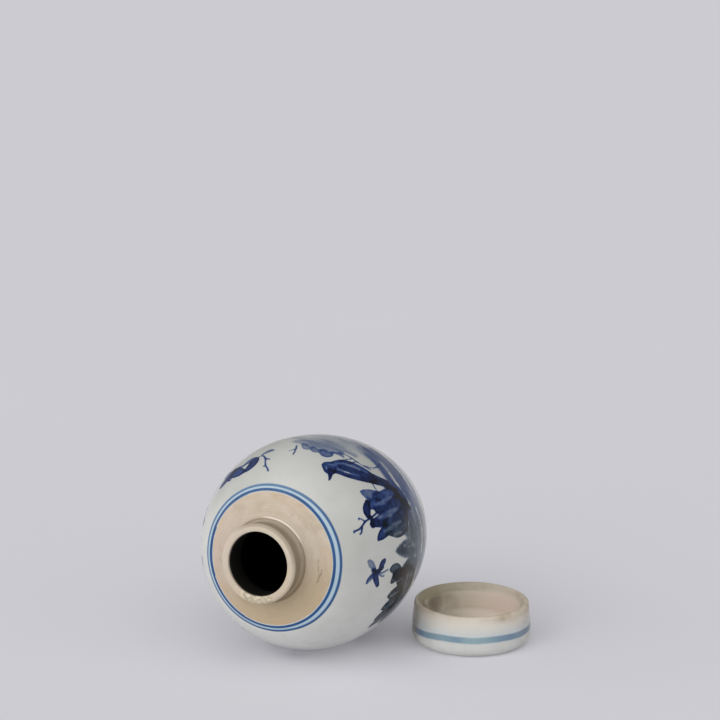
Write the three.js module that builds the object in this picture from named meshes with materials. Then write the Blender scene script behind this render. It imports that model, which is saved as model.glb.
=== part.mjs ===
// A porcelain ginger jar lying on its side, with its cap-shaped lid upside down beside it.
// Millimetres, +Z up. Both pieces are turned shapes: each outline is drawn upright, radius
// against height, and is spun round its own axis before the piece is laid down.
import * as THREE from "three";

// ---- Jar body, standing upright with its foot on z = 0 ----
const jarHeight = 166; // foot to lip
const bellyRadius = 75; // the widest part
const bellyHeight = 84; // the widest part's height above the foot
const bodyWall = 5;
const bodyFloor = 7;

const footRadius = 53; // outer edge of the foot ring
const footRingWidth = 6;
const footRingHeight = 4;
const footRecess = 3.5; // hollow under the base, inside the ring
const footStep = 2.5; // the belly's overhang past the ring

const collarRadius = 27.5; // outside of the upright neck
const collarHeight = 14.5;
const collarWall = 5.7;
const lipRound = 2; // rounding of the lip's two edges
const shoulderDrop = 5.7; // fall of the bare shoulder from the collar to the glaze edge

// How far the belly's curve runs straight on at each of its ends before it bends away.
const upperFullness = 33;
const shoulderFullness = 11.5;
const shoulderSlope = THREE.MathUtils.degToRad(22);
const lowerFullness = 32;
const footFullness = 25;
const footSlope = THREE.MathUtils.degToRad(28);

// ---- Lid, a flat-topped cap that drops over the collar and rests on the bare shoulder ----
const lidClearance = 7.15; // between the collar and the inside of the lid's rim
const lidHeadroom = 5.5; // between the lip and the underside of the lid's top
const lidWall = 5.35; // also the width of the rounded rim
const lidTopThickness = 6.6;
const lidFlare = 2.5; // the sides widen by this from the rim up to the edge of the top
const lidTopRound = 7; // rounding of the top's edge
const lidInnerRound = 5; // fillet between the lid's top and sides, inside
const bareMargin = 6.5; // bare clay that shows outside the seated lid

// ---- How the two pieces lie ----
const lyingTilt = THREE.MathUtils.degToRad(5.3); // the mouth points this far above level
const lidTuck = 17; // how far the lid's edge lies in under the jar's widest part
const lidBehind = 45.5; // lid's centre, behind the spot where the belly touches the table

// ---- Fineness of the turned shapes ----
const roundSegments = 48;
const curveSteps = 10;
const filletSteps = 4;

// ---- Sizes that follow from the ones above ----
const mouthRadius = collarRadius - collarWall;
const lidMouthRadius = collarRadius + lidClearance;
const lidRimRadius = lidMouthRadius + lidWall;
const lidRadius = lidRimRadius + lidFlare;
const glazeRadius = lidRimRadius + bareMargin;
const collarBase = jarHeight - collarHeight;
const glazeHeight = collarBase - shoulderDrop;
const rimSeatRadius = lidMouthRadius + lidWall / 2;
const seatHeight =
  collarBase - (shoulderDrop * (rimSeatRadius - collarRadius)) / (glazeRadius - collarRadius);
const lidDepth = jarHeight - seatHeight + lidHeadroom;
const lidHeight = lidDepth + lidTopThickness;

const point = (radius, height) => new THREE.Vector2(radius, height);

// Points along a quarter-turn fillet, from startAngle to endAngle about its centre.
function fillet(centreRadius, centreHeight, round, startAngle, endAngle) {
  const points = [];
  for (let i = 0; i <= filletSteps; i++) {
    const angle = startAngle + ((endAngle - startAngle) * i) / filletSteps;
    points.push(
      point(centreRadius + round * Math.cos(angle), centreHeight + round * Math.sin(angle)),
    );
  }
  return points;
}

// The belly's outside from the foot ring up to the glaze edge, moved inwards by inset.
function bellyOutline(inset) {
  const wide = point(bellyRadius, bellyHeight);
  const base = point(footRadius + footStep, footRingHeight);
  const edge = point(glazeRadius, glazeHeight);
  const lower = new THREE.CubicBezierCurve(
    base,
    point(base.x + footFullness * Math.sin(footSlope), base.y + footFullness * Math.cos(footSlope)),
    point(wide.x, wide.y - lowerFullness),
    wide,
  );
  const upper = new THREE.CubicBezierCurve(
    wide,
    point(wide.x, wide.y + upperFullness),
    point(
      edge.x + shoulderFullness * Math.cos(shoulderSlope),
      edge.y - shoulderFullness * Math.sin(shoulderSlope),
    ),
    edge,
  );
  const points = [];
  for (const curve of [lower, upper]) {
    for (let i = points.length ? 1 : 0; i <= curveSteps; i++) {
      const place = curve.getPoint(i / curveSteps);
      const along = curve.getTangent(i / curveSteps);
      points.push(point(place.x - inset * along.y, place.y + inset * along.x));
    }
  }
  return points;
}

// Inside of the body: a flat floor, the belly's curve one wall thickness in, then the mouth.
function bodyInside() {
  const floorHeight = footRecess + bodyFloor;
  const neckBottom = collarBase - bodyWall;
  const wall = bellyOutline(bodyWall).filter((p) => p.y > floorHeight + bodyWall);
  return [
    point(mouthRadius, neckBottom),
    ...wall.reverse(),
    point(wall[wall.length - 1].x - bodyWall, floorHeight),
    point(0, floorHeight),
  ];
}

function bodyOutline() {
  const lipLevel = jarHeight - lipRound;
  return [
    point(0, footRecess),
    point(footRadius - footRingWidth, footRecess),
    point(footRadius - footRingWidth, 0),
    point(footRadius, 0),
    point(footRadius, footRingHeight),
    ...bellyOutline(0),
    point(collarRadius, collarBase),
    ...fillet(collarRadius - lipRound, lipLevel, lipRound, 0, Math.PI / 2),
    ...fillet(mouthRadius + lipRound, lipLevel, lipRound, Math.PI / 2, Math.PI),
    ...bodyInside(),
  ];
}

// The lid upright, rim on z = 0 and closed top at lidHeight.
function lidOutline() {
  const rimRound = lidWall / 2;
  const underside = lidHeight - lidTopThickness;
  return [
    point(0, underside),
    ...fillet(lidMouthRadius - lidInnerRound, underside - lidInnerRound, lidInnerRound, Math.PI / 2, 0),
    ...fillet(rimSeatRadius, rimRound, rimRound, Math.PI, 2 * Math.PI),
    ...fillet(lidRadius - lidTopRound, lidHeight - lidTopRound, lidTopRound, 0, Math.PI / 2),
    point(0, lidHeight),
  ];
}

// Spins an outline round its axis, with the middle of a facet facing straight out sideways.
function turned(outline) {
  const shape = new THREE.LatheGeometry(outline, roundSegments, Math.PI / roundSegments);
  shape.rotateX(Math.PI / 2);
  return shape;
}

function glazedPorcelain() {
  return new THREE.MeshStandardMaterial({ color: 0xc9c9c2, roughness: 0.14, metalness: 0 });
}

function glazedLidPorcelain() {
  return new THREE.MeshStandardMaterial({ color: 0xcdc7be, roughness: 0.2, metalness: 0 });
}

function jarBody() {
  const body = new THREE.Mesh(turned(bodyOutline()), glazedPorcelain());
  body.name = "jar_body";
  body.rotation.x = Math.PI / 2 - lyingTilt;
  return body;
}

function lid() {
  const cap = new THREE.Mesh(turned(lidOutline()), glazedLidPorcelain());
  cap.name = "lid";
  cap.rotation.x = Math.PI;
  return cap;
}

// Lays a piece on the table: its lowest point comes to z = 0.
function layDown(piece) {
  piece.position.z = 0;
  piece.position.z = -new THREE.Box3().setFromObject(piece, true).min.z;
}

// The spot where the lying belly touches the table is under this point of the jar's axis.
function axisPointOverContact() {
  const lowest = bellyOutline(0).reduce((best, p) => {
    const drop = p.x * Math.cos(lyingTilt) - p.y * Math.sin(lyingTilt);
    return drop > best.drop ? { drop, height: p.y, radius: p.x } : best;
  }, { drop: -Infinity });
  return lowest.height * Math.cos(lyingTilt) + lowest.radius * Math.sin(lyingTilt);
}

const body = jarBody();
body.position.y = axisPointOverContact();
layDown(body);

const cap = lid();
cap.position.set(bellyRadius + lidRadius - lidTuck, lidBehind, 0);
layDown(cap);

// The pair stands with the middle of its footprint over the origin.
const gingerJar = new THREE.Group();
gingerJar.add(body, cap);
const middle = new THREE.Box3().setFromObject(gingerJar, true).getCenter(new THREE.Vector3());
gingerJar.position.set(-middle.x, -middle.y, 0);

export default gingerJar;
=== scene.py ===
"""A blue-and-white porcelain ginger jar lying on its side, its cap lid upside down beside it.

Shapes are given as a potter measures them: in millimetres, radius against height, with each
piece standing upright. Turns are degrees round the jar, 0 at the side that lies uppermost.
"""

import math

import bpy
import numpy as np
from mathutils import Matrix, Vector


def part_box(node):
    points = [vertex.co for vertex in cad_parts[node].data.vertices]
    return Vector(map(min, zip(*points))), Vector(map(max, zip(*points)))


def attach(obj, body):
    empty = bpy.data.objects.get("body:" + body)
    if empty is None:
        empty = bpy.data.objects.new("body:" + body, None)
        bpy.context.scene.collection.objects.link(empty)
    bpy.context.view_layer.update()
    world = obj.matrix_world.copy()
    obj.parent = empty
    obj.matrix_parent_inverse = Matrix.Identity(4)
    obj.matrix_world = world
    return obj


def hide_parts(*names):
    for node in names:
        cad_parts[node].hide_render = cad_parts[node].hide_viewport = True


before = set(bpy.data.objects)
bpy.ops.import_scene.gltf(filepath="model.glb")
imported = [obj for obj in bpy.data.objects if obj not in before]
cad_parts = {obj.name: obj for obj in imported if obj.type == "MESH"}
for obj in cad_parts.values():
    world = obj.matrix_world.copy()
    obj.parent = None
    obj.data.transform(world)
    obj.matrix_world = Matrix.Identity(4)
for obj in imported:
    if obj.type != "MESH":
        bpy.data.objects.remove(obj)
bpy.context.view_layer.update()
MM = 0.001

# ---- Jar, standing on its foot ----
JAR_HEIGHT = 166.0
BELLY_RADIUS, BELLY_HEIGHT = 75.0, 84.0
FOOT_RADIUS, FOOT_RING_WIDTH, FOOT_RING_HEIGHT = 53.0, 6.0, 4.0
FOOT_RECESS, FOOT_STEP = 3.5, 2.5
COLLAR_RADIUS, COLLAR_WALL, COLLAR_HEIGHT = 27.5, 5.7, 14.5
SHOULDER_DROP = 5.7
SHOULDER_RADIUS = 46.5
BODY_WALL, BODY_FLOOR = 5.0, 7.0
MOUTH_RADIUS = COLLAR_RADIUS - COLLAR_WALL
COLLAR_BASE = JAR_HEIGHT - COLLAR_HEIGHT
SHOULDER_HEIGHT = COLLAR_BASE - SHOULDER_DROP
GLAZE_RADIUS = 45.7  # the glaze stops here on the shoulder, and below it the clay is bare

# ---- Lid, drawn as it lies: closed top down, rim up ----
LID_RADIUS, LID_RIM_RADIUS, LID_WALL = 42.5, 40.0, 5.35
LID_HEIGHT, LID_TOP = 29.55, 6.6
LID_TOP_ROUND, LID_INNER_ROUND = 7.0, 5.0

# ---- How the jar lies, its mouth a little raised ----
LYING_TILT = math.radians(5.3)
UPRIGHT_TO_LYING = math.pi / 2 - LYING_TILT

JAR_FACETS = 396
LID_FACETS = 288

# ---- Where it is seen from, in metres and degrees ----
CAMERA_PLACE = (0.5498, -1.2282, 0.4955)
CAMERA_TURN = math.radians(24.07)
CAMERA_DIP = math.radians(77.944)
CAMERA_LENS, CAMERA_FILM = 100, 36


# ======== Outlines ========
def arc(centre, radius, start, end, steps):
    """Points on a circle, angles in degrees."""
    angles = np.radians(np.linspace(start, end, steps + 1))
    return [(centre[0] + radius * math.cos(a), centre[1] + radius * math.sin(a)) for a in angles]


def bezier(p0, p1, p2, p3, steps=160):
    t = np.linspace(0, 1, steps + 1)[:, None]
    p0, p1, p2, p3 = (np.array(p) for p in (p0, p1, p2, p3))
    curve = (1 - t) ** 3 * p0 + 3 * (1 - t) ** 2 * t * p1 + 3 * (1 - t) * t**2 * p2 + t**3 * p3
    return [tuple(p) for p in curve]


def evenly(points, spacing):
    """The same run of points, set out again at about one spacing."""
    points = np.array(points)
    travelled = np.concatenate([[0], np.cumsum(np.hypot(*np.diff(points, axis=0).T))])
    count = max(1, round(travelled[-1] / spacing))
    marks = np.linspace(0, travelled[-1], count + 1)
    radii = np.interp(marks, travelled, points[:, 0])
    heights = np.interp(marks, travelled, points[:, 1])
    return list(zip(radii, heights))


def belly_outline():
    """Outside of the belly, from the top of the foot ring to the shoulder."""
    slope_low, slope_high = math.radians(28), math.radians(22)
    low = (FOOT_RADIUS + FOOT_STEP, FOOT_RING_HEIGHT)
    wide = (BELLY_RADIUS, BELLY_HEIGHT)
    high = (SHOULDER_RADIUS, SHOULDER_HEIGHT)
    leave_low = (low[0] + 25 * math.sin(slope_low), low[1] + 25 * math.cos(slope_low))
    reach_high = (high[0] + 11.5 * math.cos(slope_high), high[1] - 11.5 * math.sin(slope_high))
    lower = bezier(low, leave_low, (wide[0], wide[1] - 32), wide)
    upper = bezier(wide, (wide[0], wide[1] + 33), reach_high, high)
    return lower + upper[1:]


BELLY = belly_outline()
BELLY_RADII = np.array([p[0] for p in BELLY])
BELLY_HEIGHTS = np.array([p[1] for p in BELLY])
BELLY_CLIMB = np.concatenate([[0], np.cumsum(np.hypot(np.diff(BELLY_RADII), np.diff(BELLY_HEIGHTS)))])


def jar_outside():
    """Foot, belly, bare shoulder, collar and lip, from the middle of the base to the mouth."""
    ring_inside = FOOT_RADIUS - FOOT_RING_WIDTH
    base = evenly([(0, FOOT_RECESS - 0.6), (ring_inside - 1.5, FOOT_RECESS)], 6)
    ring = [
        (ring_inside - 0.4, FOOT_RECESS - 0.5),
        (ring_inside, 1.2),
        (ring_inside + 0.7, 0.15),
        (ring_inside + 1.6, 0),
        (FOOT_RADIUS - 1.5, 0),
        (FOOT_RADIUS - 0.5, 0.25),
        (FOOT_RADIUS, 1.1),
        (FOOT_RADIUS + 0.1, FOOT_RING_HEIGHT - 1.2),
        (FOOT_RADIUS + 0.6, FOOT_RING_HEIGHT - 0.3),
    ]
    shoulder_end = (COLLAR_RADIUS + 3.4, COLLAR_BASE - 1.1)
    shoulder = evenly([(SHOULDER_RADIUS, SHOULDER_HEIGHT), shoulder_end], 1.1)[1:]
    groove = [
        (COLLAR_RADIUS + 2.8, COLLAR_BASE - 0.6),
        (COLLAR_RADIUS + 2.1, COLLAR_BASE - 0.05),
        (COLLAR_RADIUS + 1.5, COLLAR_BASE + 0.1),
        (COLLAR_RADIUS + 0.9, COLLAR_BASE - 0.15),
        (COLLAR_RADIUS + 0.3, COLLAR_BASE - 0.55),
        (COLLAR_RADIUS - 0.3, COLLAR_BASE - 0.2),
        (COLLAR_RADIUS - 0.7, COLLAR_BASE + 1.0),
    ]
    wall_top = (COLLAR_RADIUS - 0.1, JAR_HEIGHT - 2.6)
    wall = evenly([(COLLAR_RADIUS - 0.9, COLLAR_BASE + 2.2), wall_top], 1.2)
    outer_edge = arc((COLLAR_RADIUS - 1.9, JAR_HEIGHT - 1.9), 1.9, 0, 90, 5)
    inner_edge = arc((MOUTH_RADIUS + 1.1, JAR_HEIGHT - 0.9), 0.9, 90, 180, 4)
    return base + ring + evenly(BELLY, 1.1) + shoulder + groove + wall + outer_edge + inner_edge


def jar_inside():
    """From the mouth down the bore, along the belly's wall and across the floor."""
    neck_bottom = COLLAR_BASE - BODY_WALL
    floor = FOOT_RECESS + BODY_FLOOR
    bore = evenly([(MOUTH_RADIUS, JAR_HEIGHT - 2.5), (MOUTH_RADIUS + 0.3, neck_bottom + 2)], 4)
    along = np.gradient(np.array(BELLY), axis=0)
    along /= np.linalg.norm(along, axis=1)[:, None]
    wall = np.array(BELLY) + BODY_WALL * np.stack([-along[:, 1], along[:, 0]], axis=1)
    wall = [tuple(p) for p in wall[::-1] if p[1] > floor + 9]
    under_neck = (MOUTH_RADIUS + 0.6, neck_bottom)
    under_shoulder = bezier(under_neck, (30, neck_bottom - 2), (38, 144), wall[0], 8)
    corner_end = (wall[-1][0] - 14, floor)
    corner = bezier(wall[-1], (wall[-1][0] - 2, floor + 4), (corner_end[0] + 6, floor), corner_end, 8)
    across = evenly([corner_end, (0, floor)], 11)
    return bore + under_shoulder + evenly(wall, 7)[1:] + corner[1:] + across[1:]


def lid_outline():
    """From the middle of the lid's hollow, over the rim and down the outside to the top."""
    bore = LID_RIM_RADIUS - LID_WALL
    corner = (bore - LID_INNER_ROUND, LID_TOP + LID_INNER_ROUND)
    hollow = evenly([(0, LID_TOP - 0.3), (corner[0] - 1, LID_TOP)], 3)
    fillet = arc(corner, LID_INNER_ROUND - 0.1, -90, 0, 6)
    wall = evenly([(bore - 0.2, corner[1] + 0.5), (bore, LID_HEIGHT - 6.2)], 1.2)
    crest_middle = (LID_RIM_RADIUS - 1.3, LID_HEIGHT - 2.2)
    slope = [(bore + out, LID_HEIGHT - down) for out, down in ((0.3, 5.2), (0.9, 3.7), (1.6, 2.2))]
    crest = arc(crest_middle, 2.1, 150, 8, 10)
    side_foot = (LID_RADIUS - 0.1, LID_TOP_ROUND + 1.2)
    side = bezier(crest[-1], (LID_RIM_RADIUS + 1.4, 23), (LID_RADIUS + 0.1, 15), side_foot, 26)
    edge = arc((LID_RADIUS - LID_TOP_ROUND, LID_TOP_ROUND), LID_TOP_ROUND, 0, -90, 12)
    top = evenly([edge[-1], (LID_RADIUS - LID_TOP_ROUND - 3, 0.0), (0, 0.5)], 4)
    return hollow + fillet + wall + slope + crest + evenly(side, 0.9)[1:-1] + edge + top[1:]


# ======== Making pieces ========
def turned_piece(name, outline, facets):
    """Draws the outline point by point, then spins it round the upright axis."""
    bpy.ops.object.select_all(action="DESELECT")
    bpy.ops.mesh.primitive_plane_add(size=2 * MM)
    piece = bpy.context.object
    piece.name = piece.data.name = name
    bpy.ops.object.mode_set(mode="EDIT")
    bpy.ops.mesh.select_all(action="SELECT")
    bpy.ops.mesh.merge(type="CENTER")
    bpy.ops.transform.translate(value=(outline[0][0] * MM, 0, outline[0][1] * MM))
    for (radius, height), (next_radius, next_height) in zip(outline, outline[1:]):
        step = ((next_radius - radius) * MM, 0, (next_height - height) * MM)
        bpy.ops.mesh.extrude_region_move(TRANSFORM_OT_translate={"value": step})
    bpy.ops.mesh.select_all(action="SELECT")
    bpy.ops.mesh.spin(steps=facets, angle=math.tau, center=(0, 0, 0), axis=(0, 0, 1))
    bpy.ops.mesh.select_all(action="SELECT")
    bpy.ops.mesh.remove_doubles(threshold=0.02 * MM)
    bpy.ops.mesh.normals_make_consistent(inside=False)
    bpy.ops.object.mode_set(mode="OBJECT")
    return piece


def hand_made(piece, name, swell, reach):
    """Presses slow, uneven swells into a turned wall, swell millimetres deep."""
    unevenness = bpy.data.textures.new(name, "CLOUDS")
    unevenness.noise_scale = reach * MM
    unevenness.noise_depth = 1
    press = piece.modifiers.new(name, "DISPLACE")
    press.texture = unevenness
    press.texture_coords = "LOCAL"
    press.strength = swell * MM
    press.mid_level = 0.5
    bpy.ops.object.select_all(action="DESELECT")
    piece.select_set(True)
    bpy.context.view_layer.objects.active = piece
    bpy.ops.object.modifier_apply(modifier=press.name)


def settle(piece, place, lean):
    """Lays a finished piece down, leaving its object at the origin and its place in its mesh."""
    bpy.ops.object.select_all(action="DESELECT")
    piece.select_set(True)
    bpy.context.view_layer.objects.active = piece
    bpy.ops.object.shade_smooth_by_angle(angle=math.radians(38))
    piece.rotation_euler = (lean, 0, 0)
    piece.location = place
    bpy.ops.object.transform_apply(location=True, rotation=True, scale=True)


def corners_of(piece):
    """Where each vertex is, in millimetres."""
    flat = np.empty(len(piece.data.vertices) * 3, np.float32)
    piece.data.vertices.foreach_get("co", flat)
    return flat.reshape(-1, 3).astype(float) / MM


def keep_value(piece, name, values):
    """Stores one number per vertex, which the glaze and clay finishes read."""
    layer = piece.data.attributes.new(name, "FLOAT", "POINT")
    layer.data.foreach_set("value", np.asarray(values, np.float32))


# ======== Brushwork ========
FAR = 40.0  # stands for no stroke or scar nearby
CURVE_STEPS = 4  # points added between two points of a stroke
MOTIF_REACH = 75  # no motif spreads farther than this from its own origin


class Brush:
    """Cobalt strokes on the jar's outside, in millimetres round the jar and up its wall.

    Each layer keeps two numbers per vertex: edge, the distance to the nearest stroke's edge,
    negative inside it, and load, how much cobalt the strokes there have left. Cobalt pools
    along the edge of every stroke except a wash.
    """

    def __init__(self, places, outside):
        self.turns = np.degrees(np.arctan2(places[:, 0], places[:, 1]))
        self.radii = np.hypot(places[:, 0], places[:, 1])
        self.climb = np.interp(places[:, 2], BELLY_HEIGHTS, BELLY_CLIMB)
        self.outside = np.flatnonzero(outside & (places[:, 2] < SHOULDER_HEIGHT - 2))
        self.layers = {
            name: (np.full(len(places), FAR), np.zeros(len(places)))
            for name in ("wash", "ink", "line")
        }
        self.at(0, BELLY_HEIGHT)

    def at(self, turn, height, lean=0, size=1.0, mirrored=False):
        """Puts the brush's own origin at a turn and a height; lean turns it anticlockwise."""
        away = (self.turns[self.outside] - turn + 180) % 360 - 180
        across = np.radians(away) * self.radii[self.outside]
        up = self.climb[self.outside] - np.interp(height, BELLY_HEIGHTS, BELLY_CLIMB)
        near = np.hypot(across, up) < MOTIF_REACH * size
        across, up = across[near] / size, up[near] / size
        c, s = math.cos(math.radians(lean)), math.sin(math.radians(lean))
        self.x = (across * c + up * s) * (-1 if mirrored else 1)
        self.y = up * c - across * s
        self.near = self.outside[near]
        self.size = size
        return self

    def reach_of(self, points, widths):
        """Distance from each nearby vertex to a stroke's edge, negative inside the stroke."""
        points, widths = np.asarray(points, float), np.asarray(widths, float) / 2
        best = np.full(len(self.x), FAR)
        for (ax, ay), (bx, by), ra, rb in zip(points, points[1:], widths, widths[1:]):
            dx, dy = bx - ax, by - ay
            t = ((self.x - ax) * dx + (self.y - ay) * dy) / max(dx * dx + dy * dy, 1e-9)
            t = np.clip(t, 0, 1)
            gap = np.hypot(self.x - ax - t * dx, self.y - ay - t * dy) - (ra + (rb - ra) * t)
            best = np.minimum(best, gap)
        return best * self.size

    def stroke(self, points, widths, load, layer="ink"):
        """One pull of the brush through the points, width and load of cobalt as given."""
        points, widths = smooth(points, widths)
        gap = self.reach_of(points, widths)
        edge, loads = self.layers[layer]
        edge[self.near] = np.minimum(edge[self.near], gap)
        pooled = 1 if layer == "wash" else 0.9 + 0.28 * np.exp(-(((gap + 0.8) / 0.8) ** 2))
        covered = np.clip(load * pooled * np.clip(1 - gap / 1.4, 0, 1), 0, 0.98)
        more, less = np.maximum(loads[self.near], covered), np.minimum(loads[self.near], covered)
        loads[self.near] = more + 0.45 * less * (1 - more)

    def reserve(self, points, widths):
        """Leaves a stretch of the washes unpainted."""
        points, widths = smooth(points, widths)
        edge = self.layers["wash"][0]
        edge[self.near] = np.maximum(edge[self.near], -self.reach_of(points, widths))

    def lift(self, points, widths, keep):
        """Wipes a stretch of ink back to a share of its load, as a highlight."""
        points, widths = smooth(points, widths)
        inside = np.clip(0.5 - self.reach_of(points, widths) / 1.2, 0, 1)
        self.layers["ink"][1][self.near] *= 1 - (1 - keep) * inside

    def leaf(self, start, aim, length, width, load, bend=0.15, layer="ink"):
        """A pressed stroke that swells and lifts to a point, aimed in degrees."""
        along = np.array([0, 0.22, 0.5, 0.78, 1.0])
        c, s = math.cos(math.radians(aim)), math.sin(math.radians(aim))
        side = bend * length * np.sin(along * math.pi)
        forward = along * length
        points = np.stack([start[0] + forward * c - side * s, start[1] + forward * s + side * c], 1)
        self.stroke(points, width * np.array([0.3, 0.85, 1.0, 0.72, 0.12]), load, layer)

    def twig(self, points, load, width=1.5):
        """A thin line that thins a little towards its tip."""
        self.stroke(points, np.linspace(width, 0.9 * width, len(points)), load, "line")

    def dots(self, places, width, load, layer="ink"):
        """Touches of the brush's tip."""
        for x, y in places:
            self.stroke([(x, y), (x + 0.4, y + 0.5)], [width, width * 0.8], load, layer)


def smooth(points, widths):
    """Rounds a run of points and its widths with a Catmull-Rom curve."""
    rows = np.column_stack([np.asarray(points, float), np.asarray(widths, float)])
    if len(rows) < 3:
        return rows[:, :2], rows[:, 2]
    padded = np.vstack([2 * rows[0] - rows[1], rows, 2 * rows[-1] - rows[-2]])
    out = []
    for a, b, c, d in zip(padded, padded[1:], padded[2:], padded[3:]):
        for t in np.arange(CURVE_STEPS) / CURVE_STEPS:
            bend = (2 * a - 5 * b + 4 * c - d) * t**2 + (3 * b - a - 3 * c + d) * t**3
            out.append(0.5 * (2 * b + (c - a) * t + bend))
    out.append(rows[-1])
    out = np.array(out)
    return out[:, :2], np.maximum(out[:, 2], 0.15)


def paint_bird(brush):
    """A plump songbird on a rock, head raised, its tail reaching down behind."""
    brush.stroke([(-14, 11), (-10, 5), (-2, -1), (7, -8)], [9.6, 13, 11.6, 6], 0.44)
    brush.stroke([(-16.4, 15.4), (-13.6, 18.2)], [10, 9], 0.62)
    brush.stroke([(-12, 20), (-9.6, 23), (-8, 26)], [4, 2.6, 1.4], 0.85)
    brush.stroke([(-15, 20), (-9, 15.5), (-1, 10), (6, 2), (13, -8)], [2.6, 3.6, 4.2, 4, 3], 0.8)
    brush.stroke([(-11, 9), (-5, 5), (3, -1), (10, -8)], [4.6, 7, 6.4, 3.4], 0.68)
    brush.stroke([(-18, 11), (-14, 3), (-8, -2), (-1, -6), (5, -9)], [1.8, 2, 2.2, 2, 2], 0.62)
    brush.stroke([(8, -4), (14, -12), (19, -20), (22, -28)], [5.4, 5, 4, 2.2], 0.9)
    brush.stroke([(5, -8), (11, -15), (15, -22)], [3.4, 3.4, 2.2], 0.75)
    brush.lift([(-11, 13.5), (-4, 9), (2, 3.4)], [1.0, 1.4, 1.0], 0.5)
    brush.lift([(-17.6, 14), (-14.6, 11.6)], [1.4, 1.8], 0.5)
    brush.lift([(-10, 4), (-2, -1.4)], [1.4, 1.8], 0.55)
    brush.lift([(-17, 18), (-15.4, 19.6)], [1.4, 1.4], 0.45)
    brush.dots([(-14.4, 17.6)], 1.8, 0.98, "line")
    brush.twig([(-15, 5), (-14, -1), (-12, -6)], 0.45)
    brush.twig([(-10, 1), (-9, -4), (-8, -8)], 0.45)
    brush.twig([(-22, -5), (-14, -7), (-6, -7.6), (2, -12)], 0.5)
    brush.twig([(-3, -10), (1, -16), (1.5, -24), (0, -32)], 0.4)


def paint_rock(brush):
    """Heavy drooping petals over the top of a dark rock, with a sprig standing out."""
    for x, low, high, width, load in (
        (-13, -14, 9, 10, 0.66), (-5, -18, 13, 12, 0.8), (4, -18, 14, 12, 0.74), (12, -14, 10, 10, 0.68),
    ):
        petal = [(x, low), (x + 1, (low + high) / 2), (x - 1, high)]
        brush.stroke(petal, [width * 0.8, width, width * 0.6], load)
    brush.leaf((-13, 2), 116, 19, 10, 0.46, -0.1)
    brush.leaf((-8, 6), 97, 17, 8, 0.62, 0.06)
    brush.leaf((1, 6), 88, 19, 8, 0.76, -0.05)
    brush.leaf((9, 5), 74, 18, 8, 0.7, 0.06)
    brush.lift([(-10, -8), (-9, 4), (-9, 14)], [1.6, 3.4, 1.6], 0.5)
    brush.lift([(-1, -10), (0, 3), (0, 16)], [2, 4.6, 2], 0.5)
    brush.lift([(8, -8), (9, 3), (10, 14)], [2, 4.2, 1.8], 0.52)
    brush.lift([(15, -6), (15, 4)], [1.6, 2.6], 0.55)
    brush.stroke([(-13, 19), (-8, 23), (-4, 24)], [3.6, 6.4, 4.4], 0.8)
    brush.stroke([(-2, 22), (3, 23)], [3, 4.6], 0.66)
    brush.stroke([(-18, -15), (-8, -20), (2, -21), (10, -17)], [4, 7, 7, 4], 0.96)
    brush.stroke([(-8, -19), (-2, -25), (2, -31)], [6, 6, 3], 0.9)
    brush.twig([(-4, 14), (-2, 22), (-1, 28), (2, 34), (2.5, 38)], 0.66)
    brush.twig([(-1, 28), (-4, 31)], 0.6)
    brush.twig([(1.4, 32), (5, 34)], 0.6)
    brush.dots([(-4.4, 32), (5.4, 35), (2.6, 39)], 2.0, 0.5)
    brush.twig([(-26, 3), (-20, 4.6), (-14, 3)], 0.4)


def paint_insect(brush, load=0.7):
    """A small winged insect seen from above."""
    brush.stroke([(-1, 5), (0, 0), (-2, -5)], [2.2, 3, 1.8], load)
    brush.stroke([(0, 2), (5, 1), (10, -2)], [2.8, 5, 3.6], load)
    brush.stroke([(-1, -1), (-5, -4), (-7, -6)], [2.2, 4.6, 2.8], load)
    brush.stroke([(-2, 3), (-5, 6), (-7, 8)], [2.4, 5.4, 4.4], 0.4 * load)
    brush.stroke([(1, 3), (4, 6), (7, 8)], [2, 4, 2.8], 0.5 * load)
    brush.twig([(1, 3), (5, 7.5), (8, 8.6)], 0.4)
    brush.twig([(1, -1), (1.5, -5), (0, -10)], 0.4)
    brush.twig([(2, -1), (4, -4), (4, -7)], 0.4)


def paint_left_leaves(brush):
    """A cluster of pressed leaves."""
    brush.leaf((1, -7), 148, 15, 8.6, 0.66, -0.1)
    brush.leaf((0, -6), 44, 16, 9, 0.7, 0.1)
    brush.leaf((1, -7), 96, 12, 6, 0.5)
    brush.leaf((-2, -5), 205, 9, 5, 0.35)
    brush.leaf((2, -6), 12, 10, 4.6, 0.35)


def paint_sprig(brush):
    """One dark leaf and a thin stem with side buds."""
    brush.leaf((4, -6), 118, 15, 8.4, 0.75, -0.12)
    brush.leaf((4, -6), 158, 11, 5.6, 0.5)
    brush.twig([(3, -6), (8, -7), (12, -2), (14, 6), (17, 11)], 0.5)
    brush.twig([(12, -2), (16, 0)], 0.45)
    brush.dots([(13, 7), (17, 12)], 2.0, 0.4)
    brush.stroke([(8, -9), (12, -12), (15, -12)], [2.6, 5, 2.6], 0.42)


def paint_top_spray(brush):
    """A thin dotted stem over a row of rounded, watery leaves."""
    brush.twig([(-12, 0), (-9.6, 6), (-8, 13)], 0.45)
    brush.twig([(-10, 5), (-13, 9)], 0.4)
    brush.stroke([(-8, -3), (-4, 1), (-1, 0)], [4, 6, 4], 0.28)
    brush.stroke([(0, -1), (3, 1.5), (5, 0)], [4, 6, 4], 0.36)
    brush.stroke([(8, -1), (11, 1), (13, -1)], [6, 8.4, 6], 0.5)
    brush.stroke([(14, -5), (18, -7), (22, -6)], [3, 4, 2], 0.3)


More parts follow.
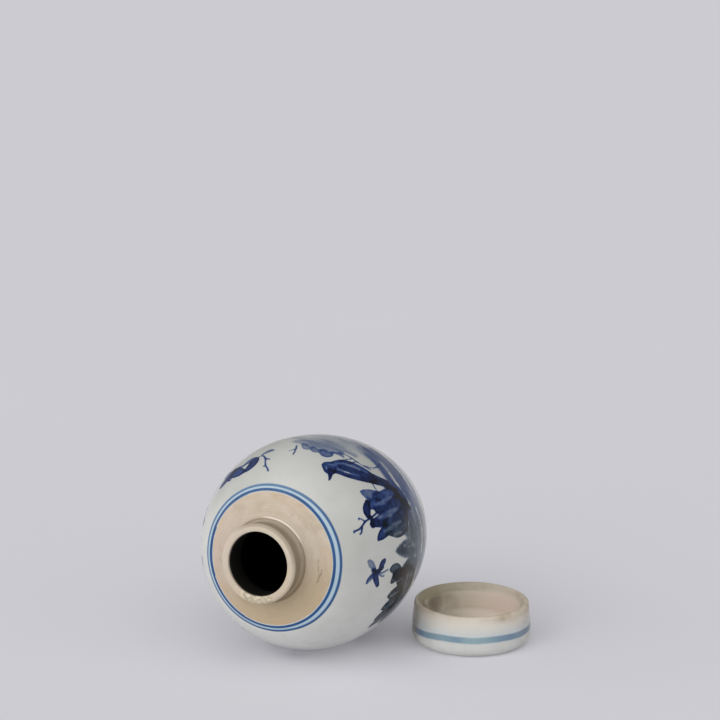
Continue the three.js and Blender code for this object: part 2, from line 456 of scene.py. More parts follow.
def paint_foliage(brush, load=0.8):
    """A bank of crowded leaf strokes, darkest in the middle."""
    for x, y, aim, length, width, share in (
        (-14, 2, 100, 14, 8, 0.7), (-12, 0, 66, 13, 8, 0.75), (-7, -8, 104, 20, 10, 0.85),
        (1, -12, 118, 20, 10, 0.95), (6, -12, 96, 22, 11, 1.1), (10, -10, 76, 20, 10, 1.05),
        (15, -8, 56, 19, 10, 0.9), (20, -6, 40, 18, 9, 0.75), (18, -14, 22, 17, 8, 0.7),
    ):
        brush.leaf((x, y), aim, length, width, load * share, 0.1)
    brush.stroke([(-14, -8), (-4, -12), (10, -13), (28, -12)], [11, 15, 15, 9], 0.8 * load)
    brush.stroke([(-10, -24), (8, -24), (30, -24)], [12, 14, 9], 0.62 * load)
    brush.lift([(-8, -4), (-6, 6)], [1.4, 2.8], 0.5)
    brush.lift([(2, -4), (5, 6)], [1.4, 2.8], 0.45)
    brush.lift([(10, -6), (15, 4)], [1.4, 2.8], 0.5)
    for low, width, share in ((-11, 1.6, 0.55), (-15, 2.8, 0.45), (-20, 2.4, 0.5)):
        brush.lift([(-12, low + 3), (4, low), (24, low + 1)], [1.4, width, 1.4], share)


def paint_bamboo(brush):
    """Two jointed stalks with hanging leaves."""
    for x, top in ((-5, 44), (6, 36)):
        for joint in range(5):
            low = -40 + joint * (top + 40) / 5
            high = low + (top + 40) / 5 - 1.8
            lean = 0.05 * low
            brush.stroke([(x + lean, low), (x + lean + 0.5, high)], [2.8, 2.4], 0.4)
    for x, y, aim in (
        (-4, 30, 205), (-4, 30, 232), (-3, 42, 160), (-3, 42, 198), (7, 28, -18), (7, 28, -48),
        (7, 34, 12), (-6, 6, 212), (-6, 6, 238), (5, 8, -24), (5, 8, -52), (-3, 42, 24), (6, -8, -30),
    ):
        brush.leaf((x, y), aim, 17, 5, 0.6, 0.08)


def paint_blossom_branch(brush):
    """A crooked flowering branch."""
    branch = [(-30, -18), (-18, -8), (-8, -7), (4, 2), (14, 3), (26, 14)]
    brush.stroke(branch, [4, 3.4, 2.8, 2.4, 2, 1.4], 0.55)
    brush.twig([(-8, -7), (-6, 4), (-10, 14)], 0.55, 1.6)
    brush.twig([(6, 2), (12, -6), (22, -9)], 0.55)
    for x, y, size in ((-10, 17, 1.0), (1, 8, 0.8), (16, 8, 1.0), (24, -11, 0.9), (-19, -2, 0.8)):
        for petal in range(5):
            brush.leaf((x, y), 90 + 72 * petal, 6.4 * size, 5 * size, 0.26, 0)
        brush.dots([(x, y)], 2.2 * size, 0.8)
    brush.dots([(27, 16), (-12, 22), (10, -3), (-2, 13), (29, 11)], 2.4, 0.5)


def paint_ground(brush):
    """Pale washes of hills and grass round the back of the lower belly."""
    for turn, height, lean in (
        (140, 58, 8), (170, 46, -6), (205, 58, 8), (245, 50, -4), (285, 60, 10), (325, 66, -6),
    ):
        brush.at(turn, height, lean)
        brush.stroke([(-24, -2), (-10, 5), (6, 6), (24, -1)], [9, 15, 14, 7], 0.3, "wash")
        brush.stroke([(-16, -11), (2, -8), (20, -12)], [7, 10, 6], 0.26, "wash")
        for blade in range(-3, 4):
            brush.leaf((blade * 6, -14), 82 + blade * 5, 15, 3.4, 0.26, 0.06, "wash")


def paint_top_wash(brush):
    """A broad watery wash behind the top spray, brushed round the jar in long pulls."""
    for start, end, height, width, load in (
        (-22, 12, 17, 10, 0.26), (-26, 19, 8, 13, 0.24), (-24, 25, -4, 15, 0.2),
        (-22, 34, -17, 15, 0.2), (-18, 42, -29, 14, 0.18),
    ):
        middle = (start + end) / 2
        pull = [(start, height - 2), (middle, height + 1), (end, height - 3)]
        brush.stroke(pull, [width * 0.7, width, width * 0.7], load, "wash")


def paint_right_wash(brush):
    """Grey washes of rock that sweep round the right side of the belly."""
    brush.stroke([(-44, 4), (-12, 3), (20, -5), (50, -13)], [22, 36, 34, 20], 0.2, "wash")
    for start, end, height, width, load in (
        (-44, 24, 9, 9, 0.46), (-48, 46, -1, 14, 0.44),
        (-46, 54, -13, 15, 0.36), (-34, 52, -26, 13, 0.28),
    ):
        middle = (start + end) / 2
        pull = [(start, height + 1), (middle - 10, height + 3)]
        pull += [(middle + 12, height - 1), (end, height + 2)]
        brush.stroke(pull, [width * 0.6, width, width * 0.9, width * 0.6], load, "wash")
    brush.stroke([(-18, 10), (-6, 5), (8, 6), (20, 1)], [2.4, 4.4, 3.6, 2], 0.36)
    brush.reserve([(-34, 3), (-16, 6), (0, 1)], [1.4, 2.4, 1.4])
    brush.reserve([(6, -10), (20, -14), (36, -11)], [1.4, 2.2, 1.4])


def paint_grey_leaves(brush):
    """Tall watery leaves standing out of the grey rock."""
    for x, aim, length, width, load in (
        (-6, 112, 27, 11, 0.52), (2, 98, 36, 13, 0.62), (11, 84, 30, 12, 0.55),
    ):
        brush.leaf((x, -16), aim, length, width, load, 0.05, "wash")
    brush.leaf((2, -10), 100, 22, 5, 0.3)
    brush.leaf((8, -12), 88, 19, 4.4, 0.28)
    brush.reserve([(-2, -12), (-3, 0), (-5, 8)], [1.4, 1.8, 1.4])


def paint_jar(piece, places, outside):
    """Lays every motif round the jar and keeps the layers on its vertices."""
    brush = Brush(places, outside)
    paint_ground(brush)
    paint_top_wash(brush.at(12, 84))
    paint_right_wash(brush.at(64, 64))
    paint_grey_leaves(brush.at(88, 82))
    paint_top_spray(brush.at(8, 107))
    paint_left_leaves(brush.at(-40.5, 126, 0, 1.12))
    paint_sprig(brush.at(-26, 125))
    paint_rock(brush.at(65, 97))
    paint_bird(brush.at(38, 103))
    paint_insect(brush.at(94.5, 119))
    paint_foliage(brush.at(108, 92))
    paint_foliage(brush.at(158, 50, 14), 0.55)
    paint_bamboo(brush.at(186, 66, 0, 0.9))
    paint_insect(brush.at(206, 120, 35, 0.9))
    paint_blossom_branch(brush.at(222, 98, 6))
    paint_left_leaves(brush.at(252, 128, 10))
    paint_rock(brush.at(268, 76, -6, 0.9, True))
    paint_foliage(brush.at(296, 84, 10, 1.1, True), 0.6)
    paint_sprig(brush.at(286, 124, 30, 1.0, True))
    for name, (edge, load) in brush.layers.items():
        keep_value(piece, name + "_edge", edge)
        keep_value(piece, name + "_load", load)


# ======== Finishes ========
class Value:
    """An output socket. Sums written with it add Math nodes to its finish."""

    def __init__(self, finish, socket):
        self.finish, self.socket = finish, socket

    def math(self, operation, *values):
        return self.finish.add("Math", {"operation": operation}, dict(enumerate(values)))

    def __add__(self, other):
        return self.math("ADD", self, other)

    def __sub__(self, other):
        return self.math("SUBTRACT", self, other)

    def __rsub__(self, other):
        return self.math("SUBTRACT", other, self)

    def __mul__(self, other):
        return self.math("MULTIPLY", self, other)

    def __truediv__(self, other):
        return self.math("DIVIDE", self, other)

    def __abs__(self):
        return self.math("ABSOLUTE", self)

    __radd__ = __add__
    __rmul__ = __mul__


class Finish:
    """A material and the few ways in which its nodes are made."""

    def __init__(self, name):
        self.material = bpy.data.materials.new(name)
        self.material.use_nodes = True
        self.tree = self.material.node_tree
        self.shader = self.tree.nodes["Principled BSDF"]

    def add(self, kind, settings=None, values=None, output=0):
        """Adds a node: its settings first, then a value or a link for each named socket."""
        node = self.tree.nodes.new("ShaderNode" + kind)
        for key, setting in (settings or {}).items():
            setattr(node, key, setting)
        for key, value in (values or {}).items():
            self.feed(node.inputs[key], value)
        return Value(self, node.outputs[output])

    def feed(self, socket, value):
        if isinstance(value, Value):
            self.tree.links.new(value.socket, socket)
        else:
            socket.default_value = value

    def set(self, **values):
        """Feeds the surface shader's own sockets, such as Base_Color."""
        for key, value in values.items():
            self.feed(self.shader.inputs[key.replace("_", " ")], value)

    def kept(self, name):
        """A number that is stored on the piece's vertices."""
        return self.add("Attribute", {"attribute_name": name}, output="Fac")

    def noise(self, place, size, detail, rough=0.5):
        """Noise between 0 and 1 whose features are about size millimetres."""
        values = {"Vector": place, "Scale": 1000 / size, "Detail": detail, "Roughness": rough}
        return self.add("TexNoise", None, values)

    def step(self, value, low, high, out_low=0.0, out_high=1.0):
        """A smooth change from out_low at low to out_high at high."""
        values = {"Value": value, "From Min": low, "From Max": high}
        values.update({"To Min": out_low, "To Max": out_high})
        return self.add("MapRange", {"interpolation_type": "SMOOTHSTEP"}, values)

    def blend(self, share, first, second):
        """Two colours mixed; share is how much of the second shows."""
        return self.add("Mix", {"data_type": "RGBA"}, {0: share, 6: first, 7: second}, 2)

    def scaled(self, place, x, y, z):
        """Coordinates squeezed along some axes, which draws a noise out along the others."""
        return self.add("VectorMath", {"operation": "MULTIPLY"}, {0: place, 1: (x, y, z)})


def colour(red, green, blue):
    """A colour given as 0 to 255 screen values, turned into light."""
    channels = [c / 255 for c in (red, green, blue)]
    return tuple(c / 12.92 if c <= 0.04045 else ((c + 0.055) / 1.055) ** 2.4 for c in channels) + (1.0,)


# ---- Glaze ----
GLAZE_WHITE = colour(207, 207, 203)
GLAZE_GREY = colour(181, 182, 176)
GLAZE_BLUISH = colour(158, 186, 204)
GLAZE_CREAM = colour(208, 200, 187)
IRON_SPECK = colour(120, 96, 70)

# ---- Bare clay, and painted light and shade ----
CLAY = colour(185, 171, 152)
CLAY_PALE = colour(199, 188, 171)
CLAY_PINK = colour(192, 175, 163)
CLAY_OCHRE = colour(176, 157, 126)
CLAY_DARK = colour(160, 142, 118)
CLAY_FLASH = colour(206, 158, 114)
# painted shade and reflection: a brown put on the collar's wall, groove and lip edge, and on the lid's
# ends
SHADE_BROWN = colour(124, 109, 86)
CLAY_CHIP = colour(220, 211, 182)
# painted highlight for the ridge round the collar's foot
RIDGE_HIGHLIGHT = colour(226, 216, 202)
# painted shade: near black for the jar's inner wall, floor and bore
INSIDE_SHADE_BLACK = colour(15, 13, 9)
# sooty brown on the firing scars, and painted shade in the lid's hollow
SOOT_AND_SHADE = colour(84, 66, 44)
# painted shade for the lid's inner rim
RIM_SHADE_OLIVE = colour(124, 118, 92)
# painted light and shade for the lid's hollow: a lit pink and a shaded grey
HOLLOW_LIT_PINK = colour(236, 220, 208)
HOLLOW_SHADED_GREY = colour(206, 198, 181)

# ---- Pigment, from a watery touch to a full load ----
COBALT = (
    colour(156, 162, 170),
    colour(98, 109, 132),
    colour(42, 66, 116),
    colour(12, 28, 70),
    colour(4, 8, 20),
)
# painted reflection: cobalt tones turned grey, as if washed out by the glaze's sheen
REFLECTION_GREY_COBALT = (
    colour(146, 154, 155),
    colour(88, 99, 103),
    colour(44, 56, 62),
    colour(15, 30, 35),
    colour(4, 18, 23),
)
RING_BLUE = colour(14, 72, 124)
RING_DARK = colour(8, 38, 80)
RING_PALE = colour(118, 156, 178)
BAND_BLUE = colour(60, 100, 140)
BAND_PALE = colour(118, 150, 158)

# ---- Rings below the shoulder, as distances from the glaze's edge ----
RING_HALF = 1.4
INNER_RING = 1.7
OUTER_RING_NEAR, OUTER_RING_FAR = 5.0, 6.0  # it strays outwards on the right
RING_GAP = 3.4

# ---- The lid's painted band, as it lies ----
BAND_HEIGHT = 13.3
BAND_HALF, BAND_SOLID = 3.0, 1.6

GLOSS, JAR_CLAY_ROUGH, LID_CLAY_ROUGH = 0.16, 0.72, 0.62


def split(finish, place):
    """The three coordinates of a place."""
    node = finish.add("SeparateXYZ", None, {"Vector": place}).socket.node
    return [Value(finish, output) for output in node.outputs]


class Spot:
    """Where a point of a piece is before the piece is laid down; height is in millimetres."""

    def __init__(self, finish, origin, lean):
        place = finish.add("TexCoord", None, None, "Object")
        values = {"Vector": place, "Location": tuple(origin), "Rotation": (lean, 0, 0)}
        self.place = finish.add("Mapping", {"vector_type": "TEXTURE"}, values)
        self.x, self.y, z = split(finish, self.place)
        self.height = z * 1000


class JarSpot(Spot):
    """Adds the radius, and the direction from the axis: to the right, and up as the jar lies."""

    def __init__(self, finish, foot):
        super().__init__(finish, foot, UPRIGHT_TO_LYING)
        reach = self.x.math("POWER", self.x * self.x + self.y * self.y, 0.5)
        self.turn_x = self.x / (reach + 0.0001)
        self.turn_y = self.y / (reach + 0.0001)
        self.radius = reach * 1000


def pigment(finish, strength, palette):
    """Pigment under the glaze, from a watery grey to nearly black."""
    pale, thin, middle, dark, black = palette
    tone = finish.blend(finish.step(strength, 0.05, 0.34), pale, thin)
    tone = finish.blend(finish.step(strength, 0.28, 0.56), tone, middle)
    tone = finish.blend(finish.step(strength, 0.48, 0.78), tone, dark)
    return finish.blend(finish.step(strength, 0.76, 0.98), tone, black)


def brushed(finish, place, name, soft, ragged):
    """How strongly one layer of strokes shows: its load, cut at a slightly ragged edge."""
    wander = (finish.noise(place, 2.2, 4) - 0.5) * ragged
    wander = wander + (finish.noise(place, 9, 2) - 0.5) * ragged
    edge = finish.kept(name + "_edge") + wander
    return finish.step(edge, soft, -soft) * finish.kept(name + "_load")


def brush_strength(finish, place):
    """All three layers together: streaky washes, dark strokes and thin lines."""
    streaks = finish.noise(finish.scaled(place, 0.4, 0.4, 1.5), 8, 4, 0.55)
    wash = brushed(finish, place, "wash", 3.0, 3.6) * finish.step(streaks, 0.3, 0.72, 0.72, 1.16)
    watery = finish.step(finish.noise(place, 6, 4, 0.6), 0.32, 0.7, 0.8, 1.1)
    ink = brushed(finish, place, "ink", 0.42, 0.8) * watery
    line = brushed(finish, place, "line", 0.5, 0.4)
    return 1 - (1 - wash) * (1 - ink) * (1 - line)


def glaze_colour(finish, place, greyer):
    """White glaze with a grey-green cast that drifts over the body, and a few iron specks."""
    drift = finish.step(finish.noise(place, 55, 3), 0.38, 0.66)
    base = finish.blend(drift * 0.35 + greyer, GLAZE_WHITE, GLAZE_GREY)
    clouds = finish.step(finish.noise(place, 7, 5, 0.6), 0.45, 0.75)
    base = finish.blend(clouds * 0.25, base, GLAZE_GREY)
    speck = finish.step(finish.noise(place, 1.7, 1), 0.795, 0.83)
    return finish.blend(speck * 0.55, base, IRON_SPECK)


def painted_glaze(finish, spot):
    """The glaze, greyer on its upper side as painted shade, with the painting under it."""
    # painted shade: the glaze turns grey towards its upper side and a little to the right
    greyer = finish.step(spot.turn_y + spot.turn_x * 0.3, -0.7, 0.7, 0.0, 0.65)
    body = glaze_colour(finish, spot.place, greyer)
    strength = brush_strength(finish, spot.place)
    # Painted reflection: the cobalt turns grey low down on the right side, where the glaze's sheen would
    # wash it out.
    low_right = finish.step(spot.turn_x - spot.turn_y * 0.5, 0.6, 0.9)
    painted_reflection = low_right * finish.step(spot.height, 116, 104)
    blue = pigment(finish, strength, COBALT)
    tones = finish.blend(painted_reflection * 0.85, blue, pigment(finish, strength, REFLECTION_GREY_COBALT))
    return finish.blend(finish.step(strength, 0.02, 0.3), body, tones)


def add_rings(finish, spot, painted):
    """Two brushed rings round the bare shoulder, with a bluish gap between them."""
    wobble = (finish.noise(spot.place, 24, 2) - 0.5) * 0.5
    from_edge = finish.kept("from_glaze_edge") + wobble
    swell = (finish.noise(spot.place, 15, 2) - 0.5) * 0.7

    outer_middle = finish.step(spot.turn_x, 0.2, 0.9, OUTER_RING_NEAR, OUTER_RING_FAR)
    outer_ring = finish.step(abs(from_edge - outer_middle), RING_HALF + swell, 0.5)
    # The brush ran dry towards the upper left.
    outer_load = finish.step(spot.turn_x * 0.75 - spot.turn_y * 0.66, -0.75, 0.55, 0.76, 1.0)
    gap = finish.step(abs(from_edge - RING_GAP), 3.0, 1.4) * (0.4 + 0.6 * outer_load)
    halo = finish.blend(gap * 0.75, painted, GLAZE_BLUISH)
    outer = finish.blend(outer_load, RING_PALE, RING_BLUE)
    ringed = finish.blend(outer_ring * (0.5 + 0.45 * outer_load), halo, outer)

    inner_ring = finish.step(abs(from_edge - INNER_RING), RING_HALF + swell, 0.65)
    pooled = finish.step(finish.noise(spot.place, 12, 3), 0.4, 0.65)
    core = finish.step(abs(from_edge - INNER_RING + 0.1), 1.1, 0.2) * pooled
    inner = finish.blend(core * 0.4, RING_BLUE, RING_DARK)
    return finish.blend(inner_ring * 0.96, ringed, inner)


def shoulder_clay(finish, spot, glazed):
    """Bare clay with throwing lines: pinker on the left, ochre below, flashed by the glaze."""
    turning = finish.noise(finish.scaled(spot.place, 0.5, 0.5, 6), 7, 4, 0.6)
    clay = finish.blend(finish.step(turning, 0.35, 0.7) * 0.5, CLAY, CLAY_PALE)
    clay = finish.blend(finish.step(spot.turn_x, -0.1, -0.9) * 0.5, clay, CLAY_PINK)
    below = finish.step(spot.turn_y - spot.turn_x * 0.3, 0.2, -0.9)
    clay = finish.blend(below * 0.75, clay, CLAY_OCHRE)
    mottled = finish.step(finish.noise(spot.place, 14, 4), 0.5, 0.8)
    clay = finish.blend(mottled * 0.5, clay, CLAY_DARK)
    flash = finish.step(glazed, -7.0, -0.4) * finish.step(finish.noise(spot.place, 11, 3), 0.42, 0.66)
    clay = finish.blend(flash * 0.16, clay, CLAY_FLASH)
    grain = finish.step(finish.noise(spot.place, 0.9, 4), 0.6, 0.75)
    return finish.blend(grain * 0.25, clay, CLAY_DARK)


def collar_painted_light_and_wear(finish, spot, clay):
    """Painted shade on the collar's wall and in the groove at its foot, a painted highlight on the
    ridge, a worn lip, and painted shade on the lip's upper outer edge.
    """
    # painted shade: the collar's wall darkens up towards the lip, and the groove at its foot is darkened
    from_groove = finish.step(spot.height, COLLAR_BASE - 2.5, COLLAR_BASE + 7)
    on_wall = from_groove * finish.step(spot.height, JAR_HEIGHT - 1, JAR_HEIGHT - 3.4)
    groove = finish.step(abs(spot.radius - COLLAR_RADIUS - 0.2), 1.8, 0.2)
    groove = groove * finish.step(spot.height, COLLAR_BASE + 4, COLLAR_BASE)
    clay = finish.blend(on_wall * 0.75 + groove * 0.35 * (1 - on_wall), clay, SHADE_BROWN)

    # painted highlight: a pale line along the ridge, on its upper right side
    ridge = finish.step(abs(spot.radius - COLLAR_RADIUS - 1.7), 0.9, 0.3)
    ridge = ridge * finish.step(spot.height, COLLAR_BASE - 1.5, COLLAR_BASE - 0.9)
    highlight_side = finish.step(spot.turn_x * 0.42 + spot.turn_y * 0.91, 0.78, 0.93)
    clay = finish.blend(ridge * highlight_side, clay, RIDGE_HIGHLIGHT)

    clay = finish.blend(lip_of(finish, spot) * 0.5, clay, CLAY_PALE)
    # painted shade: the lip's outer edge darkened on its upper side
    outer_edge = finish.step(spot.radius, COLLAR_RADIUS - 2.6, COLLAR_RADIUS - 1.2)
    outer_edge = outer_edge * finish.step(spot.height, JAR_HEIGHT - 3.4, JAR_HEIGHT - 2)
    upper_side = finish.step(spot.turn_x * 0.5 + spot.turn_y, 0.2, 0.9)
    return finish.blend(outer_edge * upper_side * 0.5, clay, SHADE_BROWN)


def lip_of(finish, spot):
    """1 on the jar's lip, 0 off it."""
    return finish.step(spot.height, JAR_HEIGHT - 2.2, JAR_HEIGHT - 0.9)


def lip_chip(finish, spot):
    """A rough patch where the lowest part of the lip was knocked."""
    lowest = finish.step(spot.turn_y, -0.8, -0.97)
    flaked = finish.step(finish.noise(spot.place, 3, 4, 0.6), 0.42, 0.55)
    return lip_of(finish, spot) * lowest * flaked


def firing_scars(finish, spot):
    """Short cracks and drag marks on the shoulder."""
    return finish.step(finish.kept("scar") + (finish.noise(spot.place, 2, 3) - 0.5) * 0.5, 0.45, -0.25)


def jar_relief(finish, spot, chip, scar, is_glazed):
    """Orange-peel in the glaze; throwing rings, grain, the chip and the scars in the clay."""
    ripple = finish.noise(spot.place, 5, 2) * is_glazed * 0.04
    phase = spot.radius * 3.3 + finish.noise(spot.place, 20, 2) * 9
    rings = finish.add("Math", {"operation": "SINE"}, {0: phase})
    chipped = chip * finish.noise(spot.place, 1.6, 4) * 1.2
    pitted = finish.noise(spot.place, 1.1, 3) * 0.2 + chipped - scar * 0.25
    rough = (rings * 0.04 + pitted) * (1 - is_glazed)
    height = (ripple + rough) * MM
    return finish.add("Bump", None, {"Height": height, "Strength": 1.0, "Distance": 1.0})


def jar_finish(foot):
    """Painted glaze down to a slightly uneven edge, and bare clay beyond it."""
    finish = Finish("blue_and_white_glaze")
    spot = JarSpot(finish, foot)
    glazed = finish.kept("from_glaze_edge") + (finish.noise(spot.place, 6, 3) - 0.5) * 0.7
    is_glazed = finish.step(glazed, -0.15, 0.2)
    ringed = add_rings(finish, spot, painted_glaze(finish, spot))

    chip = lip_chip(finish, spot)
    scar = firing_scars(finish, spot)
    clay = collar_painted_light_and_wear(finish, spot, shoulder_clay(finish, spot, glazed))
    clay = finish.blend(chip * 0.6, clay, CLAY_CHIP)
    clay = finish.blend(scar * 0.38, clay, SOOT_AND_SHADE)
    # painted shade: the jar's hollow is coloured near black
    clay = finish.blend(finish.kept("inside"), clay, INSIDE_SHADE_BLACK)

    uneven = (finish.noise(spot.place, 8, 3) - 0.5) * 0.06
    finish.set(
        Base_Color=finish.blend(is_glazed, clay, ringed),
        Roughness=finish.step(is_glazed, 0, 1, JAR_CLAY_ROUGH, GLOSS) + uneven,
        Specular_IOR_Level=0.25,
        Normal=jar_relief(finish, spot, chip, scar, is_glazed),
    )
    return finish.material


def banded_glaze(finish, spot, across, drift):
    """White glaze, creamier towards the rim, with one soft band that dips at both ends."""
    body = glaze_colour(finish, spot.place, 0.1)
    body = finish.blend(finish.step(spot.height + drift, 15.0, 25.0) * 0.8, body, GLAZE_CREAM)
    wander = (finish.noise(finish.scaled(spot.place, 1, 1, 0.3), 16, 3) - 0.5) * 1.6
    dip = 2.0 * finish.step(across, -0.018, -0.042) + 0.8 * finish.step(across, 0.02, 0.042)
    from_middle = abs(spot.height - BAND_HEIGHT + dip + wander)
    band = finish.step(from_middle, BAND_HALF, BAND_SOLID)
    ends = finish.step(abs(across), 0.012, 0.04)
    patchy = finish.step(finish.noise(finish.scaled(spot.place, 1, 1, 0.2), 22, 3), 0.35, 0.68)
    blue = finish.blend(patchy * 0.5 + ends * 0.6, BAND_PALE, BAND_BLUE)
    banded = finish.blend(band * 0.85, body, blue)
    halo = finish.step(abs(spot.height - BAND_HEIGHT - 1.2), 5.5, 2.5) * 0.16
    return finish.blend(halo * (1 - band), banded, GLAZE_BLUISH)


def lid_clay(finish, spot, across, right, inside):
    """The bare rim, darker in patches and most at its right end, and the hollow, with painted light on
    its right and painted shade on its left and on the rim's inner slope.
    """
    clay = finish.blend(finish.step(finish.noise(spot.place, 10, 4), 0.4, 0.7), CLAY_PALE, CLAY)
    # darker in patches, most towards the right end
    darker_patches = finish.step(finish.noise(spot.place, 18, 4), 0.52, 0.75) * (0.15 + 0.6 * right)
    clay = finish.blend(darker_patches, clay, CLAY_DARK)
    # painted light and shade: the hollow is lit pink on the right and shaded grey on the left
    hollow = finish.blend(finish.step(across, -0.02, 0.034), HOLLOW_SHADED_GREY, HOLLOW_LIT_PINK)
    patchy = finish.step(finish.noise(spot.place, 16, 3), 0.2, 0.6)
    # painted shade: patchy dark on the hollow's left side
    painted_left_shade = finish.step(across, 0.008, -0.036) * patchy
    hollow = finish.blend(painted_left_shade * 0.85, hollow, SOOT_AND_SHADE)
    clay = finish.blend(inside * finish.step(spot.height, 27.5, 22.0), clay, hollow)
    # painted shade: a dull green-brown on the rim's inner slope, at the left
    rim_shade = inside * finish.step(spot.height, 23.0, 25.0) * finish.step(across, 0.03, -0.03)
    return finish.blend(rim_shade * 0.7, clay, RIM_SHADE_OLIVE)


def end_shade_and_reflection(finish, spot, across):
    """Painted shade in patches on the right end of the side, and a painted dark reflection of the jar on
    the left end.
    """
    patchy = finish.step(finish.noise(spot.place, 9, 4, 0.6), 0.36, 0.6)
    painted_end_darkening = finish.step(across, 0.026, 0.041) * patchy
    return painted_end_darkening * 0.32 + finish.step(across, -0.036, -0.0425) * 0.75


def lid_finish(centre):
    """Banded glaze that stops unevenly below a bare rim; across runs from left to right, in metres."""
    finish = Finish("lid_glaze")
    spot = Spot(finish, centre, 0)
    inside = finish.kept("inside")
    across = spot.x * math.cos(CAMERA_TURN) + spot.y * math.sin(CAMERA_TURN)
    right = finish.step(across, 0.0, 0.036)
    drift = (finish.noise(spot.place, 12, 3) - 0.5) * 3.4
    glazed = finish.step(spot.height + drift + 3.0 * right, 29.5, 24.0) * (1 - inside)

    banded = banded_glaze(finish, spot, across, drift)
    # painted shade on the lid's right end and a painted reflection of the jar on its left end
    painted_end_darkening = end_shade_and_reflection(finish, spot, across) * (1 - inside)
    banded = finish.blend(painted_end_darkening, banded, SHADE_BROWN)
    clay = lid_clay(finish, spot, across, right, inside)
    grain = finish.noise(spot.place, 1.1, 3) * 0.14 * (1 - glazed)
    height = (grain + finish.noise(spot.place, 5, 2) * 0.04) * MM
    uneven = (finish.noise(spot.place, 6, 3) - 0.5) * 0.06
    finish.set(
        Base_Color=finish.blend(glazed, clay, banded),
        Roughness=finish.step(glazed, 0, 1, LID_CLAY_ROUGH, GLOSS) + uneven,
        Normal=finish.add("Bump", None, {"Height": height, "Strength": 1.0, "Distance": 1.0}),
    )
    return finish.material


# ======== The two pieces ========
def lowest_radius():
    """How far the belly reaches below the middle of the foot, as the jar lies."""
    drops = BELLY_RADII * math.cos(LYING_TILT) - BELLY_HEIGHTS * math.sin(LYING_TILT)
    return drops.max()


def make_jar():
    """The jar, turned upright, painted, then laid on its side."""
    low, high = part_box("jar_body")
    foot = Vector((
        (low[0] + high[0]) / 2,
        high[1] - FOOT_RADIUS * MM * math.sin(LYING_TILT),
        lowest_radius() * MM,
    ))
    jar = turned_piece("jar_shell", jar_outside() + jar_inside(), JAR_FACETS)
    places = corners_of(jar)
    in_hollow = inside_jar(places)
    hand_made(jar, "throwing_swell", 0.5, 46)
    keep_value(jar, "from_glaze_edge", np.where(in_hollow, -10, glaze_distance(places)))
    keep_value(jar, "inside", in_hollow & (places[:, 2] < JAR_HEIGHT - 1.5))
    keep_value(jar, "scar", scar_distance(places))
    paint_jar(jar, places, ~in_hollow)
    settle(jar, foot, UPRIGHT_TO_LYING)
    jar.data.materials.append(jar_finish(foot))
    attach(jar, "jar")
    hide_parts("jar_body")
    return jar


def glaze_distance(places):
    """Distance into the glaze from its edge at the shoulder or the foot, negative on bare clay."""
    radii, heights = np.hypot(places[:, 0], places[:, 1]), places[:, 2]
    edge_radius = glaze_edge_radius(places)
    at_shoulder = np.hypot(radii - edge_radius, heights - SHOULDER_HEIGHT)
    at_shoulder = np.where(radii > edge_radius, at_shoulder, -at_shoulder)
    on_foot = radii > FOOT_RADIUS - 0.6
    under_foot = radii < FOOT_RADIUS - 0.6
    at_foot = np.where(on_foot, heights - 2.2, 0)
    at_foot = np.where(under_foot, FOOT_RADIUS - FOOT_RING_WIDTH - 1.2 - radii, at_foot)
    return np.clip(np.where(heights < BELLY_HEIGHT, at_foot, at_shoulder), -12, 12)


def glaze_edge_radius(places):
    """The glaze was wiped off in a ring that is a little tighter on the left."""
    reach = np.maximum(np.hypot(places[:, 0], places[:, 1]), 1e-6)
    left = np.clip(-places[:, 0] / reach, 0, 1)
    return GLAZE_RADIUS - 1.5 * left**2


def scar_distance(places):
    """Distance to a few short firing cracks and drag marks on the bare shoulder."""
    nearest = np.full(len(places), FAR)
    for turn, radius, sweep, drift, half_width in (
        (96, 37.4, 24, 0.8, 0.4), (100, 38.9, 13, -0.5, 0.35),
        (30, 36.5, 40, 1.0, 0.1), (44, 40, 26, 0.6, 0.1),
    ):
        for step in np.linspace(-0.5, 0.5, 40):
            angle = math.radians(turn + sweep * step)
            reach = radius + drift * math.sin(5 * step)
            spot = (reach * math.sin(angle), reach * math.cos(angle))
            gap = np.hypot(places[:, 0] - spot[0], places[:, 1] - spot[1]) - half_width
            nearest = np.minimum(nearest, gap)
    return np.where(places[:, 2] > SHOULDER_HEIGHT, nearest, FAR)


def inside_jar(places):
    """True for points on the jar's inner wall, floor and bore."""
    radii, heights = np.hypot(places[:, 0], places[:, 1]), places[:, 2]
    belly = np.interp(heights, BELLY_HEIGHTS, BELLY_RADII) - BODY_WALL / 2
    belly = np.where(heights > SHOULDER_HEIGHT, MOUTH_RADIUS + 1.0, belly)
    under = (heights > COLLAR_BASE - BODY_WALL - 0.5) & (heights < SHOULDER_HEIGHT + 0.5)
    under = under & (radii < 40)
    return ((radii < belly) & (heights > FOOT_RECESS + 1)) | under


def make_lid():
    """The lid, turned as it lies, closed top down."""
    low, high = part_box("lid")
    centre = Vector(((low[0] + high[0]) / 2, (low[1] + high[1]) / 2, 0))
    lid = turned_piece("lid_cap", lid_outline(), LID_FACETS)
    places = corners_of(lid)
    radii = np.hypot(places[:, 0], places[:, 1])
    keep_value(lid, "inside", (radii < LID_RIM_RADIUS - 1.6) & (places[:, 2] > LID_TOP - 1))
    hand_made(lid, "lid_swell", 0.5, 30)
    settle(lid, centre, 0)
    lid.data.materials.append(lid_finish(centre))
    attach(lid, "lid")
    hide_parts("lid")
    return lid


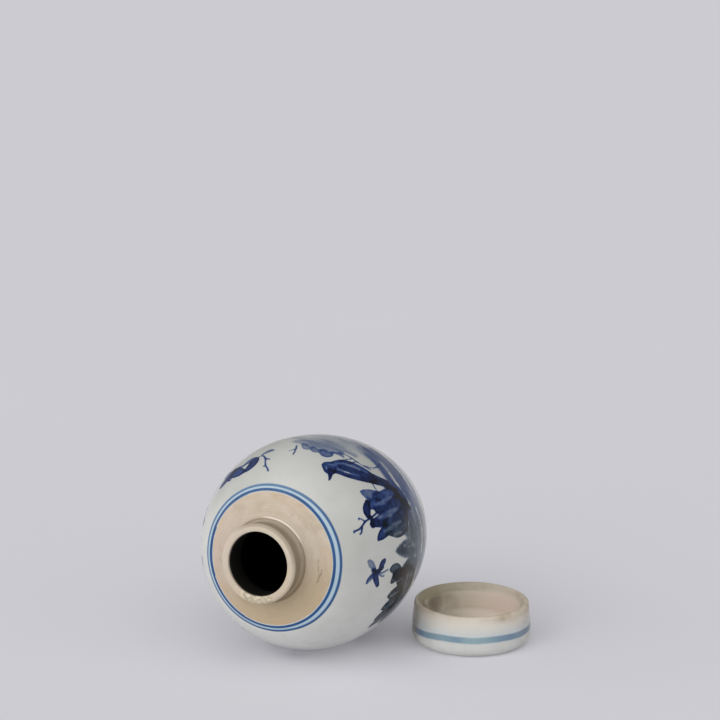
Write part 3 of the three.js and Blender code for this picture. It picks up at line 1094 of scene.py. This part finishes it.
# ======== Table, light and camera ========
def make_table():
    """A pale table that glows a little, so that the shadows on it stay light."""
    bpy.ops.object.select_all(action="DESELECT")
    bpy.ops.mesh.primitive_plane_add(size=30)
    table = bpy.context.object
    table.name = "table"
    finish = Finish("pale_table")
    place = finish.add("TexCoord", None, None, "Object")
    tone = finish.blend(finish.noise(place, 300, 2), colour(196, 195, 200), colour(198, 197, 202))
    glow = colour(102, 102, 105)
    finish.set(Base_Color=tone, Roughness=0.85, Emission_Color=glow, Emission_Strength=1.0)
    table.data.materials.append(finish.material)


def soft_sun(name, turn, height, power, spread, tint):
    """Even light from one side of the camera: turn degrees to its left, height above the table."""
    angle = CAMERA_TURN - math.radians(turn)
    flat = math.cos(math.radians(height))
    rise = math.sin(math.radians(height))
    towards = Vector((math.sin(angle) * flat, -math.cos(angle) * flat, rise))
    data = bpy.data.lights.new(name, "SUN")
    data.energy = power
    data.angle = math.radians(spread)
    data.color = tint
    data.specular_factor = 0.4
    lamp = bpy.data.objects.new(name, data)
    lamp.rotation_euler = towards.to_track_quat("Z", "Y").to_euler()
    bpy.context.scene.collection.objects.link(lamp)


def make_light():
    """A grey studio, one wide light on the left and one in front."""
    world = bpy.data.worlds.new("studio")
    bpy.context.scene.world = world
    world.use_nodes = True
    sky = world.node_tree.nodes["Background"]
    sky.inputs["Color"].default_value = (0.96, 0.97, 1.0, 1)
    sky.inputs["Strength"].default_value = 0.3
    soft_sun("window", 62, 15, 1.9, 70, (1.0, 0.99, 0.975))
    soft_sun("front", -10, 40, 1.8, 110, (0.99, 0.99, 1.0))
    bpy.context.scene.view_settings.view_transform = "Standard"


def make_camera():
    """A long lens, looking down a little from the right of the mouth."""
    data = bpy.data.cameras.new("camera")
    data.lens = CAMERA_LENS
    data.sensor_width = CAMERA_FILM
    data.clip_end = 60
    camera = bpy.data.objects.new("camera", data)
    camera.location = CAMERA_PLACE
    camera.rotation_euler = (CAMERA_DIP, 0, CAMERA_TURN)
    bpy.context.scene.collection.objects.link(camera)
    bpy.context.scene.camera = camera


make_camera()
make_table()
make_light()
make_jar()
make_lid()
